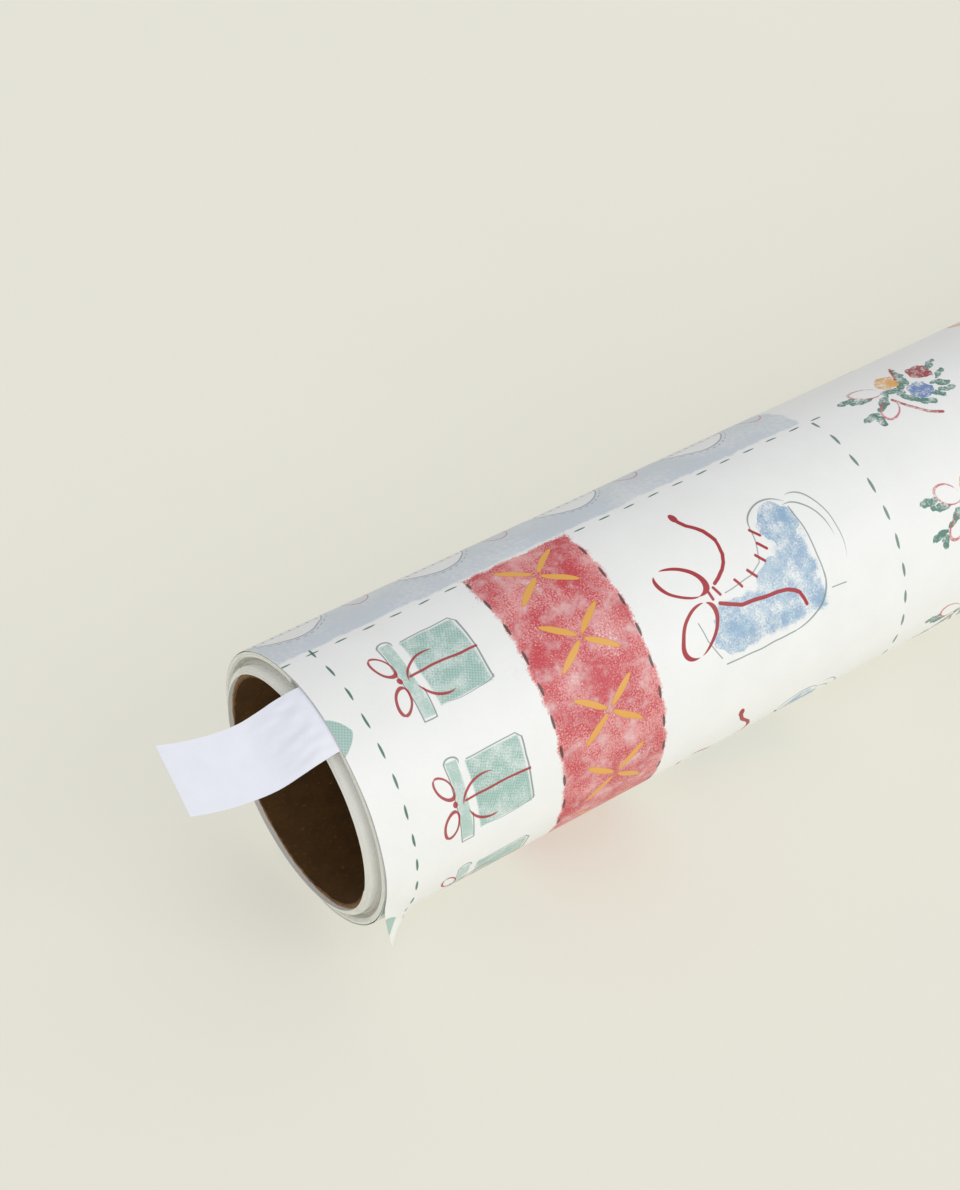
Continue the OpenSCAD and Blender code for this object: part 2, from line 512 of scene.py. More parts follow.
for x, y, lean in (
    (-11.2, -1.4, 0.2), (-10.1, -1.6, 0.6), (-6.1, -1.2, 0.7), (-3.1, -1.6, 1.1), (-0.6, -3.1, 1.2),
    (0.7, -4.8, 1.2), (0.8, -7.2, 1.1),
):
    lace.line(0.5, (x, y), (x + lean, y + 1.5))
bench.feed(out["Lace"], lace.ink)

# %% Sprig with baubles
sprig, bench, given, out = new_group(
    "Sprig", MOTIF_IN,
    {"Leaf": float, "Loop": float, "Gold": float, "Crimson": float, "Blue": float, "Tail": float},
)
here = bench.use(wobble, Place=given["Place"], Amount=0.6, Reach=1.6)["Place"]
leaves = Marks(bench, here)
for centre, length, turn in (
    ((-9.3, -4.2), 1.9, 4.0), ((-7.2, -2.6), 2.3, 14.0), ((-8.8, 1.8), 1.9, -14.0),
    ((-7.8, 3.2), 1.4, 80.0), ((-4.6, 0.0), 2.7, -34.0), ((-1.2, -1.7), 2.2, 20.0),
    ((3.1, -4.6), 3.4, -72.0), ((0.8, -1.6), 2.2, -50.0), ((0.4, 1.7), 2.7, 62.0),
    ((2.2, 3.4), 1.9, 30.0), ((9.7, -4.0), 2.3, -36.0), ((8.9, -1.0), 1.8, -24.0),
    ((7.4, 1.1), 1.8, 26.0), ((7.6, 2.9), 1.7, 12.0), ((5.4, 3.2), 1.4, 60.0),
):
    leaves.disc(centre, (length, 0.72), turn)
bench.feed(out["Leaf"], leaves.ink)
loops = (
    Marks(bench, given["Place"])
    .arc(0.46, (-5.1, -4.1), (2.7, 1.6), 160.0, 330.0, 34.0)
    .arc(0.5, (-4.7, 1.8), (2.4, 1.6), 170.0, 330.0, -42.0)
)
bench.feed(out["Loop"], loops.ink)
for label, centre in (("Gold", (0.0, -4.5)), ("Crimson", (6.6, -3.4)), ("Blue", (3.2, 0.7))):
    bench.feed(out[label], Marks(bench, here).disc(centre, (2.25, 2.1)).ink)
tail = Marks(bench, given["Place"]).line(0.62, *curve([(-2.7, 0.1), (-1.3, 3.0), (0.9, 5.5), (3.0, 6.7)]))
tail.line(0.5, *curve([(4.4, -8.1), (3.0, -5.9), (1.9, -4.1)]))
bench.feed(out["Tail"], tail.ink)
print("motifs:", gift.name, cross.name, boot.name, sprig.name)

# %% [markdown]
# ## Paper and board
#
# Bare paper is never quite even: held close, it shows clouds of fibre and a faint
# tooth. One group makes that shade and that height, and every paper and board below
# uses it with its own scale.

# %% Fibre group
fibre, bench, given, out = new_group(
    "Fibre", {"Place": (0.0, 0.0, 0.0), "Cloud": 9.0, "Thread": 0.6, "Stretch": 3.0},
    {"Shade": float, "Height": float},
)
cloud = bench.noise(given["Place"], bench.math("DIVIDE", 1.0, given["Cloud"]), 3.0, 0.55)
pulled = bench.vector("DIVIDE", given["Place"], bench.join(given["Stretch"], 1.0, 1.0))
threads = bench.noise(pulled, bench.math("DIVIDE", 1.0, given["Thread"]), 3.0, 0.65)
bench.feed(out["Shade"], bench.math("MULTIPLY_ADD", cloud, 0.6, bench.math("MULTIPLY", threads, 0.4)))
bench.feed(out["Height"], threads)


def new_material(name, **settings):
    """A material with one Principled shader. Settings are plain values on its sockets."""
    material = bpy.data.materials.new(name)
    material.use_nodes = True
    tree = material.node_tree
    tree.nodes.clear()
    bench = Bench(tree)
    shader = bench.place("ShaderNodeBsdfPrincipled", label=name)
    shader.location = (1800, 0)
    output = bench.place("ShaderNodeOutputMaterial")
    output.location = (2100, 0)
    tree.links.new(shader.outputs[0], output.inputs["Surface"])
    for label, value in settings.items():
        shader.inputs[label.replace("_", " ")].default_value = value
    return material, bench, shader.inputs


def bump(bench, shader, height, strength, depth):
    """Relief from a height between 0 and 1, depth millimetres deep."""
    node = bench.place("ShaderNodeBump")
    node.inputs["Strength"].default_value = strength
    node.inputs["Distance"].default_value = depth * MM
    bench.feed(node.inputs["Height"], height)
    bench.feed(shader["Normal"], node.outputs[0])


def tinted(bench, tone, shade, darkest, lightest):
    """A colour made lighter and darker by a shade about 0.5."""
    level = bench.ramp(shade, 0.25, 0.75, darkest, lightest)
    return bench.vector("SCALE", tone[:3] if isinstance(tone, tuple) else tone, scale=level)


def sheet_place(bench):
    """Millimetres along and round the flat sheet."""
    return bench.place("ShaderNodeUVMap", uv_map="sheet").outputs[0]


def solid_place(bench):
    """Millimetres in space, for pieces that aren't unrolled."""
    return bench.vector("SCALE", bench.place("ShaderNodeTexCoord").outputs["Object"], scale=1 / MM)


# %% [markdown]
# ## The print
#
# The design is a patchwork that repeats every 175 mm along the roll and every 148 mm
# round it, one full turn. Its place is read from the sheet's own UV map, which holds
# millimetres from the near edge and millimetres round from the top. The print is then
# part of the paper: it bends with the flap and doesn't slide.
#
# One material that drew every motif would be slow, so each block of the patchwork has
# its own material, and the sheet's faces are cut to the blocks. Between blocks all of
# them are the same bare white, so no join shows. The inks are laid down in the
# printer's order, washes first and dark lines last. Satin gift wrap takes a broad soft
# highlight, and ink makes it a little glossier.

# %% Inks and the press
REPEAT_S, REPEAT_V = 175.0, 148.0
BAND_TOP, BAND_FOOT = -52.4, -4.4
BAND_MID = (BAND_TOP + BAND_FOOT) / 2

INK = {
    "paper": colour(241, 242, 241),
    "sky": colour(206, 214, 222),
    "sky_line": colour(146, 154, 166),
    "rose": colour(230, 138, 136),
    "deep_rose": colour(196, 58, 70),
    "red": colour(166, 34, 44),
    "pink": colour(196, 84, 96),
    "gold": colour(228, 170, 84),
    "gold_line": colour(190, 128, 54),
    "card": colour(140, 182, 172),
    "pale_card": colour(176, 204, 196),
    "pencil": colour(118, 134, 134),
    "thread": colour(46, 104, 88),
    "dark_thread": colour(52, 50, 48),
    "felt": colour(180, 202, 218),
    "deep_felt": colour(104, 150, 194),
    "leaf": colour(46, 116, 100),
    "tan": colour(214, 160, 108),
    "bauble_blue": colour(88, 124, 180),
    "crimson": colour(156, 32, 40),
}


# Place along the roll, pitch, dash, width and shift of the stitches along the near hem
HEM = (5.4, 4.93, 2.7, 0.42, 1.135)


class Press:
    """Lays one ink after another over the paper, on one block of the patchwork."""

    def __init__(self, bench):
        self.bench = bench
        self.steady = sheet_place(bench)
        self.shaky = bench.use(wobble, Place=self.steady, Amount=0.22, Reach=5.0)["Place"]
        self.ragged = bench.use(wobble, Place=self.steady, Amount=0.5, Reach=2.5)["Place"]
        self.colour, self.cover = INK["paper"], 0.0

    def repeat(self, place, s0, s_pitch, v0, v_pitch):
        """The place relative to the nearest repeat of a motif whose middle is at s0, v0."""
        x, y, _ = self.bench.split(self.bench.vector("SUBTRACT", place, (s0, v0, 0.0)))
        return self.bench.join(
            self.bench.math("WRAP", x, s_pitch / 2, -s_pitch / 2),
            self.bench.math("WRAP", y, v_pitch / 2, -v_pitch / 2),
        )

    def crayon(self, cover, blotch, tooth, patchy=2.4, grainy=1.3):
        """Crayon all over. blotch and tooth are the sizes of its patches and its grain."""
        return self.bench.use(
            crayon, Place=self.steady, Cover=cover, Blotch=blotch, Tooth=tooth,
            Patchy=patchy, Grainy=grainy,
        )["Ink"]

    def rubbed(self, mask, gain, start, *texture):
        """Crayon whose cover follows a mask, so that it breaks up at the mask's edge."""
        return self.crayon(self.bench.math("MULTIPLY_ADD", mask, gain, start), *texture)

    def strip(self, s0, half_s, v0=0.0, half_v=REPEAT_V, edge=0.8):
        """A block with ragged edges; unless told otherwise it goes all the way round."""
        here = self.repeat(self.ragged, s0, REPEAT_S, v0, REPEAT_V)
        return Marks(self.bench, here).block((0.0, 0.0), (half_s, half_v), edge).ink

    def column(self, s0, pitch, dash, width, shift=0.0, before=0.0):
        """A running stitch that goes round the roll."""
        x, _, _ = self.bench.split(self.repeat(self.shaky, s0, REPEAT_S, 0.0, REPEAT_V))
        y = self.bench.math("ADD", self.bench.split(self.shaky)[1], shift)
        return self.bench.use(
            stitch, Before=before, Along=y, Across=x, Pitch=pitch, Dash=dash, Width=width
        )["Ink"]

    def lay(self, ink, strength, *masks):
        """Lays an ink where all the masks are."""
        share = masks[0]
        for mask in masks[1:]:
            share = self.bench.math("MULTIPLY", share, mask)
        share = self.bench.math("MULTIPLY", share, strength)
        self.colour = self.bench.mix(share, self.colour, INK[ink])
        self.cover = self.bench.math("MAXIMUM", self.cover, share)


def printed_block(name, draw):
    """The printed face of one block of the patchwork."""
    material, bench, shader = new_material(name, Specular_IOR_Level=0.42)
    press = Press(bench)
    draw(press)
    grain = bench.use(fibre, Place=press.steady, Cloud=7.0, Thread=0.35, Stretch=2.0)
    bench.feed(shader["Base Color"], tinted(bench, press.colour, grain["Shade"], 0.965, 1.015))
    rough = bench.ramp(grain["Shade"], 0.3, 0.7, 0.44, 0.52)
    bench.feed(shader["Roughness"], bench.math("MULTIPLY_ADD", press.cover, -0.06, rough))
    bump(bench, shader, grain["Height"], 0.12, 0.03)
    return material


# %% Gift boxes
SCREEN_TURN, SCREEN_FINE = math.radians(17), 10.1


def draw_gifts(press):
    """Boxes tinted with a fine screen of dots, diamonds on the edge and a row of stitches."""
    bench = press.bench
    box = bench.use(gift, Place=press.repeat(press.shaky, 14.6, REPEAT_S, 8.0, 20.75))
    tilted = bench.place("ShaderNodeVectorRotate", rotation_type="Z_AXIS")
    bench.feed(tilted.inputs["Vector"], press.steady)
    tilted.inputs["Angle"].default_value = SCREEN_TURN
    dots = bench.vector("SINE", bench.vector("SCALE", tilted.outputs[0], scale=SCREEN_FINE))
    dot_x, dot_y, _ = bench.split(dots)
    screen = bench.ramp(bench.math("MULTIPLY", dot_x, dot_y), -0.7, 0.9, 0.72, 1.0)
    chalk = press.crayon(0.84, 3.2, 0.3, 1.6, 0.9)
    press.lay("pale_card", 1.0, box["Lid"], chalk)
    press.lay("card", 1.0, box["Card"], screen, chalk)
    press.lay("pencil", 0.85, box["Outline"])
    press.lay("red", 0.92, box["Ribbon"])
    gem = bench.vector("ABSOLUTE", press.repeat(press.shaky, 0.0, REPEAT_S, 11.6, 38.4))
    gem_x, gem_y, _ = bench.split(bench.vector("DIVIDE", gem, (2.7, 3.1, 1.0)))
    size = bench.math("ADD", bench.math("POWER", gem_x, 1.35), bench.math("POWER", gem_y, 1.35))
    press.lay("card", 0.95, bench.ramp(size, 1.04, 0.96), screen)
    press.lay("thread", 0.92, press.column(*HEM))


print("gift boxes:", printed_block("print_gift_boxes", draw_gifts).name)


# %% Crayon ribbon
def wax_strip(press, *span):
    """A strip of red wax crayon, 20 mm wide, with paler and deeper patches."""
    strip = press.strip(42.2, 10.0, *span)
    press.lay("rose", 0.78, press.rubbed(strip, 2.6, -1.15, 7.0, 0.4, 3.4, 2.0))
    press.lay("deep_rose", 0.95, press.rubbed(strip, 1.5, -0.82, 9.0, 0.3, 2.2, 2.2))
    press.lay("paper", 0.4, strip, press.crayon(-0.05, 2.6, 0.3, 3.6, 1.6))


def draw_ribbon(press):
    """The crayon strip with crossed stitches of gold, sewn down on both sides."""
    wax_strip(press)
    thread = press.bench.use(cross, Place=press.repeat(press.shaky, 42.5, REPEAT_S, 1.6, 12.333))
    press.lay("gold", 1.0, thread["Stitch"])
    press.lay("gold_line", 0.7, thread["Vein"])
    sewn = press.column(32.6, 5.286, 2.5, 0.5)
    press.lay("dark_thread", 0.85, press.column(51.9, 5.286, 2.5, 0.5, 1.6, sewn))


print("ribbon:", printed_block("print_crayon_ribbon", draw_ribbon).name)


# %% Winter boots
def draw_boots(press):
    """Felt boots in loose watercolour, and a row of stitches past them."""
    shoe = press.bench.use(boot, Place=press.repeat(press.shaky, 77.2, REPEAT_S, 17.8, 37.6))
    press.lay("felt", 1.0, press.rubbed(shoe["Felt"], 2.0, -1.32, 3.2, 0.34, 2.6, 1.5))
    deeper = press.rubbed(shoe["Shade"], 0.34, 0.2, 2.4, 0.3, 3.4, 1.6)
    press.lay("deep_felt", 0.55, shoe["Felt"], deeper)
    press.lay("pencil", 0.8, shoe["Outline"])
    press.lay("red", 0.98, shoe["Lace"])
    press.lay("thread", 0.8, press.column(102.6, 5.1, 2.9, 0.55))


print("boots:", printed_block("print_winter_boots", draw_boots).name)


# %% Sprigs
def draw_sprigs(press):
    """Sprigs with three baubles, in opaque paint."""
    twig = press.bench.use(sprig, Place=press.repeat(press.shaky, 120.2, REPEAT_S, 0.0, 23.7))
    brush = press.crayon(0.86, 2.0, 0.4)
    for part, ink, strength in (
        ("Leaf", "leaf", 0.9), ("Loop", "pink", 0.85), ("Gold", "gold", 0.95),
        ("Crimson", "crimson", 0.95), ("Blue", "bauble_blue", 0.9), ("Tail", "red", 0.9),
    ):
        press.lay(ink, strength, twig[part], brush)


print("sprigs:", printed_block("print_sprigs", draw_sprigs).name)


# %% Tan ribbon
def draw_tan(press):
    """A tan wash with crossed stitches left bare."""
    strip = press.strip(158.0, 12.5)
    press.lay("tan", 1.0, press.rubbed(strip, 2.0, -1.26, 9.0, 0.36, 2.2, 1.7))
    star = press.bench.use(cross, Place=press.repeat(press.shaky, 158.0, REPEAT_S, 4.0, 18.5))
    press.lay("paper", 1.0, star["Stitch"], strip)


print("tan ribbon:", printed_block("print_tan_ribbon", draw_tan).name)


# %% Band of ovals
MEDAL_PITCH = 26.4
MEDAL, SCALLOP = (8.6, 18.4), (9.4, 19.2)


def draw_band(press):
    """A pale wash with a row of scalloped ovals, and running stitches on its long sides."""
    bench = press.bench
    band = press.strip(50.6, 51.0, BAND_MID, (BAND_FOOT - BAND_TOP) / 2, 0.7)
    medal = press.repeat(press.shaky, 7.0, MEDAL_PITCH, BAND_MID, REPEAT_V)
    inside = Marks(bench, medal).disc((0.0, 0.0), MEDAL).ink
    clear = bench.math("SUBTRACT", 1.0, inside)
    press.lay("sky", 1.0, clear, press.rubbed(band, 2.2, -1.26, 14.0, 0.8, 1.4, 0.7))
    squashed = bench.split(bench.vector("DIVIDE", medal, (1.0, 2.1, 1.0)))
    round_it = bench.math("ARCTAN2", squashed[0], squashed[1])
    beads = bench.ramp(bench.math("SINE", bench.math("MULTIPLY", round_it, 44.0)), -0.4, 0.5)
    rim = Marks(bench, medal).ring(0.2, (0.0, 0.0), SCALLOP).ink
    scallop = bench.math("MULTIPLY", rim, beads)
    x, y, _ = bench.split(medal)
    height = bench.math("SUBTRACT", bench.math("ABSOLUTE", y), 12.2)
    posts = bench.use(stitch, Along=x, Across=height, Pitch=1.6, Dash=0.4, Width=1.6)["Ink"]
    drawn = Marks(bench, medal)
    drawn.ink = bench.math("MAXIMUM", scallop, bench.math("MULTIPLY", posts, inside))
    drawn.ring(0.3, (0.0, 0.0), MEDAL)
    for level in (-13.0, -11.4, 11.4, 13.0):
        drawn.line(0.22, (-5.6, level), (5.6, level * 0.98))
    press.lay("sky_line", 0.85, drawn.ink, band)
    hoops = Marks(bench, press.repeat(press.shaky, 20.2, MEDAL_PITCH, BAND_FOOT - 11.5, REPEAT_V))
    hoops.ring(0.3, (0.0, -2.0), (2.1, 5.6), 14.0).ring(0.3, (0.4, -20.0), (2.1, 5.6), -14.0)
    press.lay("pink", 0.8, hoops.ink, band)
    sewn = 0.0
    for v0 in (BAND_FOOT + 0.8, BAND_TOP - 0.8):
        along, across, _ = bench.split(press.repeat(press.shaky, 52.23, REPEAT_S, v0, REPEAT_V))
        sewn = bench.use(
            stitch, Before=sewn, Along=along, Across=across, Pitch=4.93, Dash=2.4, Width=0.34
        )["Ink"]
    press.lay("thread", 0.92, sewn, bench.ramp(bench.math("ABSOLUTE", along), 52.9, 52.6))
    low_down = bench.ramp(bench.split(press.shaky)[1], BAND_FOOT - 1.4, BAND_FOOT - 1.2)
    press.lay("thread", 0.92, press.column(*HEM), low_down)
    wax_strip(press, -2.0, 2.3)


print("band:", printed_block("print_sky_band", draw_band).name)

# %% [markdown]
# The sheet builder asks `block_of` which block a face lies in. `BLOCK_ENDS` and
# `BAND_ROWS` are where the faces are cut.

# %% Where the blocks lie
BLOCKS = (
    ("print_gift_boxes", 27.0), ("print_crayon_ribbon", 56.0), ("print_winter_boots", 106.0),
    ("print_sprigs", 143.0), ("print_tan_ribbon", REPEAT_S),
)
BLOCK_ENDS = [end for _, end in BLOCKS]
BAND_ROWS = (BAND_TOP - 3.0, BAND_FOOT + 1.3)
BAND_END = 106.0
prints = [bpy.data.materials[name] for name, _ in BLOCKS] + [bpy.data.materials["print_sky_band"]]


def block_of(s, v):
    """The number of the block, among prints, at a place on the flat sheet."""
    s = s % REPEAT_S
    if s < BAND_END and BAND_ROWS[0] < v < BAND_ROWS[1]:
        return len(BLOCKS)
    return next(i for i, end in enumerate(BLOCK_ENDS) if s <= end)


print("blocks:", [material.name for material in prints])

# %% [markdown]
# The back of gift wrap is bare. Where the sheet was cut, the ends of all the turns make
# a pale ring, greyer than the face because light sinks in between them, with specks of
# ink that the knife carried over.

# %% Bare back and cut edges
def plain_paper(name, tone, texture, shades, roughness, relief, place=sheet_place, **settings):
    """Unprinted paper, whose shade and roughness both follow its fibres.

    texture is the size of the clouds and of the fibres, and how far those are stretched.
    """
    material, bench, shader = new_material(name, **settings)
    cloud, thread, stretch = texture
    grain = bench.use(fibre, Place=place(bench), Cloud=cloud, Thread=thread, Stretch=stretch)
    bench.feed(shader["Base Color"], tinted(bench, tone, grain["Shade"], *shades))
    bench.feed(shader["Roughness"], bench.ramp(grain["Shade"], 0.3, 0.7, *roughness))
    if relief:
        bump(bench, shader, grain["Height"], *relief)
    return material


back = plain_paper(
    "bare_paper", colour(236, 236, 232), (5.0, 0.4, 2.0), shades=(0.95, 1.02),
    roughness=(0.6, 0.7), relief=(0.15, 0.03), Specular_IOR_Level=0.35,
)


def cut_paper(name, tone):
    """Paper seen end on, with a dark blot of ink next to the tab."""
    material, bench, shader = new_material(name, Specular_IOR_Level=0.3)
    where = sheet_place(bench)
    streak = bench.use(fibre, Place=where, Cloud=4.0, Thread=0.5, Stretch=1.0)
    speck = bench.noise(where, 0.42, 1.0, 0.4)
    fine = bench.noise(where, 2.2, 2.0, 0.6)
    ink_at = bench.ramp(bench.math("MULTIPLY", speck, fine), 0.45, 0.5)
    edge_tone = bench.mix(ink_at, tinted(bench, tone, streak["Shade"], 0.84, 1.03), colour(70, 84, 84))
    from_blot = bench.vector("SUBTRACT", solid_place(bench), (SHEET_NEAR, -0.3, 22.7))
    blot = bench.vector("DIVIDE", from_blot, (4.0, 1.3, 0.8))
    blot_at = bench.math("MULTIPLY", bench.ramp(bench.vector("LENGTH", blot), 1.2, 0.6), 0.85)
    bench.feed(shader["Base Color"], bench.mix(blot_at, edge_tone, colour(58, 82, 76)))
    bench.feed(shader["Roughness"], bench.ramp(streak["Shade"], 0.3, 0.7, 0.7, 0.85))
    bump(bench, shader, streak["Height"], 0.3, 0.05)
    return material


cut = cut_paper("cut_edge", colour(248, 248, 240))
# The middle bundle's cut edges get a greyer tone, which is painted shade for the groove they lie back in.
groove_shaded_cut = cut_paper("cut_edge_in_groove", colour(214, 214, 202))
print("plain paper:", back.name, cut.name, groove_shaded_cut.name)

# %% [markdown]
# The core is grey-brown kraft board, wound as a spiral, so its bore shows a slanting
# seam. Its cut ends are paler and fluffed up. The bore's board is darker still: partly
# the board's own colour, partly painted shade for the dim inside of the tube. The tab
# is a harder, cooler white than the gift wrap.

# %% Core board
SEAM_PITCH, SEAM_WIDE = 96.0, 0.9


def board(name, tone, seam_share):
    """Kraft board with darker flecks. seam_share is 1 where the spiral seam shows, or 0."""
    material, bench, shader = new_material(name, Specular_IOR_Level=0.25)
    where = sheet_place(bench)
    grain = bench.use(fibre, Place=where, Cloud=3.5, Thread=0.28, Stretch=4.0)
    flecks = bench.noise(where, 1.5, 2.0, 0.7)
    along, around, _ = bench.split(where)
    lap = 2 * math.pi * BORE_R
    slant = bench.math("MULTIPLY_ADD", along, lap / SEAM_PITCH, around)
    off_seam = bench.math("ABSOLUTE", bench.math("WRAP", slant, lap / 2, -lap / 2))
    seam = bench.math("MULTIPLY", bench.ramp(off_seam, SEAM_WIDE, 0.15), seam_share)
    base = tinted(bench, tone, grain["Shade"], 0.72, 1.24)
    base = bench.mix(bench.ramp(flecks, 0.6, 0.75, 0.0, 0.3), base, colour(176, 138, 96))
    base = bench.mix(bench.math("MULTIPLY", seam, 0.6), base, colour(60, 40, 24))
    bench.feed(shader["Base Color"], base)
    bench.feed(shader["Roughness"], bench.ramp(grain["Shade"], 0.3, 0.7, 0.72, 0.9))
    height = bench.math("SUBTRACT", grain["Height"], bench.math("MULTIPLY", seam, 1.5))
    bump(bench, shader, height, 0.6, 0.1)
    return material


# The bore's tone is darker than the rims': kraft colour plus painted shade for the inside of the tube.
shaded_bore_board = board("core_bore_board", colour(92, 64, 32), 1.0)
rim_boards = [
    board(f"{name}_rim_board", tone, 0.0)
    for name, tone in (
        ("inner", colour(112, 82, 52)), ("middle", colour(136, 104, 68)),
        ("outer", colour(150, 116, 78)),
    )
]
print("board:", shaded_bore_board.name, [material.name for material in rim_boards])

# %% Tab paper and tape
tab_paper = plain_paper(
    "tab_paper", colour(238, 240, 250), (4.0, 0.3, 1.5), shades=(0.97, 1.02),
    roughness=(0.5, 0.6), relief=(0.12, 0.03), Specular_IOR_Level=0.4,
)
tape = plain_paper(
    "tape", colour(238, 234, 216), (6.0, 0.5, 1.0), shades=(0.92, 1.03),
    roughness=(0.3, 0.45), relief=(0.2, 0.04), place=solid_place, Specular_IOR_Level=0.5,
)
print("others:", tab_paper.name, tape.name)

# %% [markdown]
# ## A sheet as a mesh
#
# Paper is thin, but it is still a solid: it has a face, a back and a cut edge. The
# function below takes a grid of places on the middle of a sheet and builds both skins
# half a thickness away, joined by a strip of cut edge all round. Each corner also gets
# its place on the flat sheet in the UV map, which is what the print reads.

# %% Sheet builder
R_PRINT = 23.45


def at(x, radius, angle):
    """A point from its place along the roll, its distance from the axis and its angle."""
    a = math.radians(angle)
    return Vector((x, -radius * math.sin(a), radius * math.cos(a)))


def ease(t):
    """Goes smoothly from 0 to 1 as t does, and stays there outside that range."""
    t = min(max(t, 0.0), 1.0)
    return t * t * (3 - 2 * t)


def finish_mesh(name, points, faces, face_slots, corner_places, materials):
    """A smooth-shaded object from points in millimetres, with its UV map filled."""
    mesh = bpy.data.meshes.new(name)
    mesh.from_pydata([p * MM for p in points], [], faces)
    uvs = mesh.uv_layers.new(name="sheet")
    flat = [value for place in corner_places for value in place]
    uvs.data.foreach_set("uv", flat)
    for material in materials:
        mesh.materials.append(material)
    mesh.polygons.foreach_set("material_index", face_slots)
    mesh.shade_smooth()
    mesh.set_sharp_from_angle(angle=math.radians(50))
    mesh.validate()
    piece = bpy.data.objects.new(name, mesh)
    bpy.context.scene.collection.objects.link(piece)
    return piece


def sheet(name, grid, flat, thickness, materials, slot_of=None):
    """A sheet from a grid of middle points and their places on the flat paper.

    The face is on the side to which row direction x column direction points.
    materials are those of the back, of the cut edge, and one or more for the face.
    slot_of gives which face material lies at a place on the flat paper.
    """
    rows, columns = len(grid), len(grid[0])

    def normal(i, j):
        down = grid[min(i + 1, rows - 1)][j] - grid[max(i - 1, 0)][j]
        right = grid[i][min(j + 1, columns - 1)] - grid[i][max(j - 1, 0)]
        return down.cross(right).normalized()

    middle = [(grid[i][j], normal(i, j) * thickness / 2) for i in range(rows) for j in range(columns)]
    points = [p + n for p, n in middle] + [p - n for p, n in middle]
    back_start = rows * columns
    quads, slots = [], []
    for i in range(rows - 1):
        for j in range(columns - 1):
            a, b = i * columns + j, i * columns + j + 1
            c, d = b + columns, a + columns
            quads += [(a, d, c, b), tuple(back_start + k for k in (a, b, c, d))]
            (s0, v0), (s1, v1) = flat[i][j], flat[i + 1][j + 1]
            slots += [2 + (slot_of((s0 + s1) / 2, (v0 + v1) / 2) if slot_of else 0), 0]
    border = (
        [(0, j) for j in range(columns)]
        + [(i, columns - 1) for i in range(1, rows)]
        + [(rows - 1, j) for j in range(columns - 2, -1, -1)]
        + [(i, 0) for i in range(rows - 2, 0, -1)]
    )
    loop = [i * columns + j for i, j in border]
    for a, b in zip(loop, loop[1:] + loop[:1]):
        quads.append((a, b, back_start + b, back_start + a))
        slots.append(1)
    place = [flat[i][j] for i in range(rows) for j in range(columns)] * 2
    corners = [place[k] for quad in quads for k in quad]
    return finish_mesh(name, points, quads, slots, corners, materials)


def spaced(start, end, step):
    """Even stops from start to end, about one step apart."""
    count = max(1, round(abs(end - start) / step))
    return [start + (end - start) * k / count for k in range(count + 1)]


# %% [markdown]
# ## The windings
#
# Under the loose turn the sheet is wound tight, 27 turns in three bundles. Each bundle
# is a true spiral here too. What shows is its cut end, and no winding machine lays
# every turn exactly over the last: the inner turns stand out with the core, the middle
# ones lie back in a groove and the outer ones come forward again. The function `end_of`
# gives that, with a little unevenness round each turn.

# %% Spiral bundles
TURN_STEP = 2.5
TURN_PITCH = 0.1115
WOUND_T = 0.103
BUNDLE_GAP = 0.04

# Node, number of turns, body it rides on, gap under it, and how far the cut edges of its
# first, middle and last turn lie inside the sheet's own edge
BUNDLES = (
    ("inner_windings", 9, "core_pack", BUNDLE_GAP, (-1.55, -1.25, -0.85)),
    ("middle_windings", 10, "wound_roll", BUNDLE_GAP, (0.10, 0.95, 0.60)),
    ("outer_windings", 8, "wound_roll", 0.0, (0.15, -0.10, 0.0)),
)


def end_of(shape, share, angle, seed):
    """How far a turn's cut edge lies inside the sheet's own edge, with some unevenness."""
    first, middle, last = shape
    if share < 0.5:
        level = first + (middle - first) * ease(share * 2)
    else:
        level = middle + (last - middle) * ease(share * 2 - 1)
    slow = noise.noise(Vector((angle / 90, seed, 0.3))) * 0.07
    quick = noise.noise(Vector((angle / 11, seed, 7.7))) * 0.03
    return level + slow + quick


SHOWN = 27.0
BUNDLE_STOPS = (0.0, SHEET_W - SHOWN, SHEET_W)


def bundle_slot(s, v):
    """The print matters only near the far end, where the core can slide out."""
    return 1 if s > SHEET_W - SHOWN else 0


def bundle(node, r0, turns, shape, seed):
    """One bundle of turns, as a single sheet wound outwards from radius r0."""
    grid, flat = [], []
    for angle in spaced(0, 360 * turns, TURN_STEP):
        share = angle / (360 * turns)
        radius = r0 + WOUND_T / 2 + turns * TURN_PITCH * share
        shift = end_of(shape, share, angle, seed)
        where = SEAM_A + 360 + angle
        grid.append([at(SHEET_NEAR + s + shift, radius, where) for s in BUNDLE_STOPS])
        flat.append([(s, math.radians(where) * R_PRINT) for s in BUNDLE_STOPS])
    # The middle bundle's cut edges take the darker tone that paints the groove's shade.
    rim = groove_shaded_cut if node == "middle_windings" else cut
    faces = [back, rim, back, bpy.data.materials["print_tan_ribbon"]]
    piece = sheet(node + "_sheet", grid, flat, WOUND_T, faces, bundle_slot)
    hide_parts(node)
    return piece


bundle_r = BORE_R + BOARD_T
for number, (node, turns, body, gap, shape) in enumerate(BUNDLES, start=1):
    bundle_r += gap
    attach(bundle(node, bundle_r, turns, shape, float(number)), body)
    bundle_r += turns * TURN_PITCH
print(f"windings from r {BORE_R + BOARD_T + BUNDLE_GAP:.2f} to {bundle_r + WOUND_T:.2f} mm")

# %% [markdown]
# ## The board core
#
# The core is three bonded plies. Each is a tube turned from a small profile, with its
# ends cut a little ragged, as a saw leaves board. Ordinary cylinders would have a
# perfect rim, which is the first thing that looks false in a close view.

# %% Core plies
CORE_SIDES = 180
PLY_T = BOARD_T / 3
PLY_GAP = 0.004
RIM_NEAR, RIM_FAR = CORE_NEAR + 0.25, CORE_FAR - 0.05


